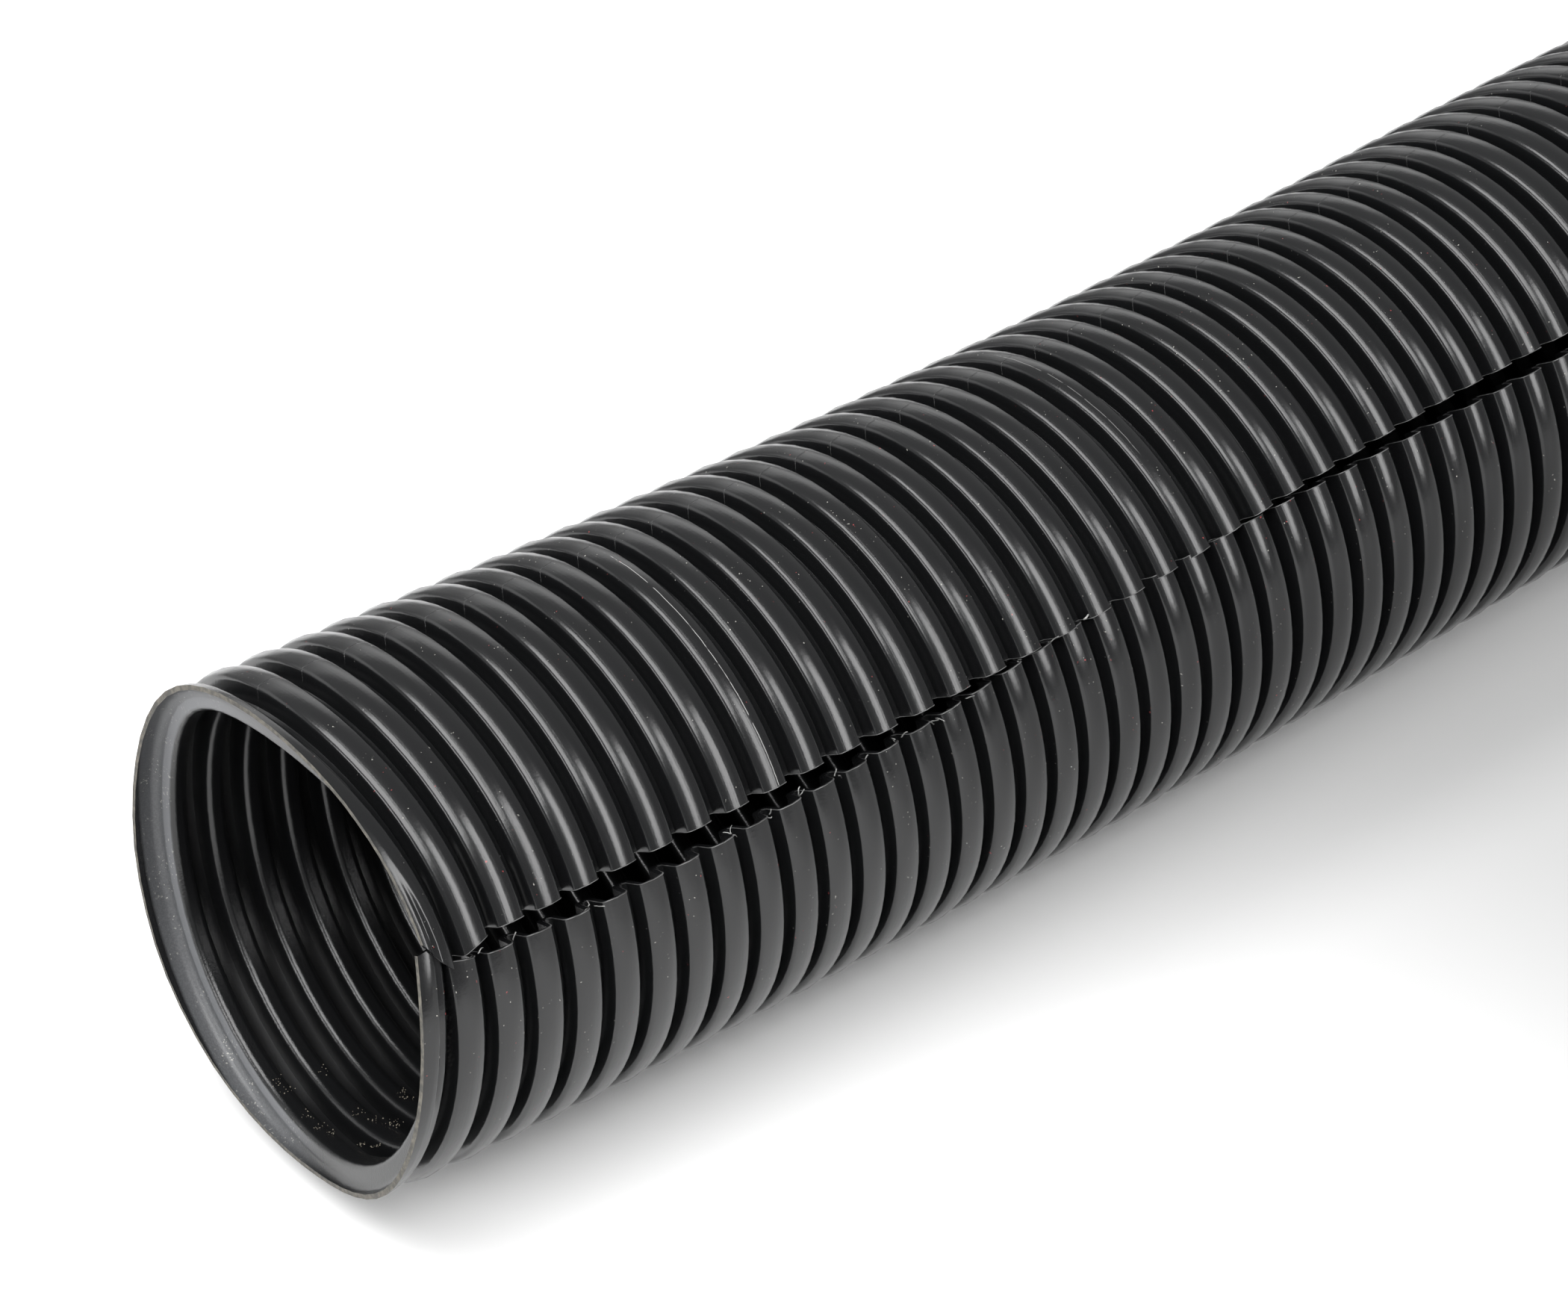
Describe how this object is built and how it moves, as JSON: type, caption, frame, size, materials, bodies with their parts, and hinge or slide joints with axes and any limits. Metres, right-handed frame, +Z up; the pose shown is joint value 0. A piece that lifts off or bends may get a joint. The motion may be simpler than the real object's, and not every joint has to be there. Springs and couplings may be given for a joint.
{
  "type": "slit corrugated conduit",
  "caption": "Black plastic corrugated conduit, slit along its length: a flexible ringed tube that bundles and protects cables laid in through the slit.",
  "frame": {"origin": "on the floor under the middle of the tube's length, straight below its axis", "axes": "+X along the tube from the near cut end to the far one, +Z up; the slit is on the -Y side, 27 degrees above the horizontal"},
  "size_m": [0.9988, 0.0544, 0.0544],
  "materials": {
    "conduit_plastic": "black moulded plastic with a satin sheen on the crests"
  },
  "bodies": {
    "root": {"conduit": "conduit_plastic"}
  },
  "joints": []
}
